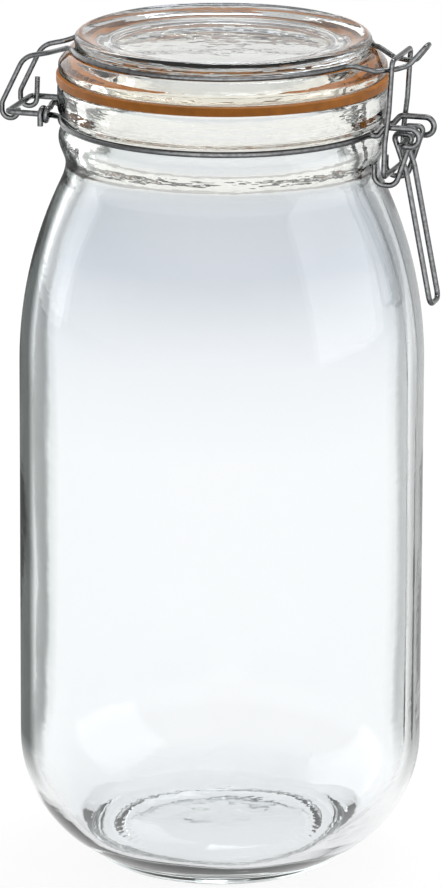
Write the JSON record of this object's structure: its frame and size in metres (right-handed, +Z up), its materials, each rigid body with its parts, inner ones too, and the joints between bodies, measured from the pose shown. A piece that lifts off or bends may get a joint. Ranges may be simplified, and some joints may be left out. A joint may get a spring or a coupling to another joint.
{
  "type": "wire-bail preserving jar",
  "caption": "Tall clear glass preserving jar with a hinged glass lid, an orange rubber ring and a sprung wire closure with a lever latch.",
  "frame": {"origin": "centre of the ring the jar stands on, on the table's surface", "axes": "+Z up along the jar's axis; the lid's hinge is at -X and the latch at +X"},
  "size_m": [0.1267, 0.115, 0.2419],
  "materials": {
    "clear_glass": "clear pressed glass, smooth, slightly wavy",
    "orange_rubber": "matt orange-brown natural rubber",
    "steel_wire": "bright drawn spring steel wire"
  },
  "bodies": {
    "jar": {"jar_glass": "clear_glass", "neck_wire": "steel_wire"},
    "lid": {"lid_glass": "clear_glass", "lid_wire": "steel_wire", "gasket": "orange_rubber"},
    "lever": {"lever": "steel_wire"},
    "link": {"link": "steel_wire"}
  },
  "joints": [
    {"name": "lid_hinge", "type": "hinge", "parent": "jar", "child": "lid", "pos_m": [-0.0604, 0, 0.2162], "axis": [0, -1, 0], "range_deg": [0, 225]},
    {"name": "lever_pivot", "type": "hinge", "parent": "jar", "child": "lever", "pos_m": [0.054, 0, 0.2137], "axis": [0, -1, 0], "range_deg": [0, 150]},
    {"name": "link_pivot", "type": "hinge", "parent": "lever", "child": "link", "pos_m": [0.0498, 0, 0.2048], "axis": [0, -1, 0], "range_deg": [-113, 0]}
  ],
  "couplings": [
    {"joint": "link_pivot", "follows": "lever_pivot", "ratio": -0.75}
  ]
}
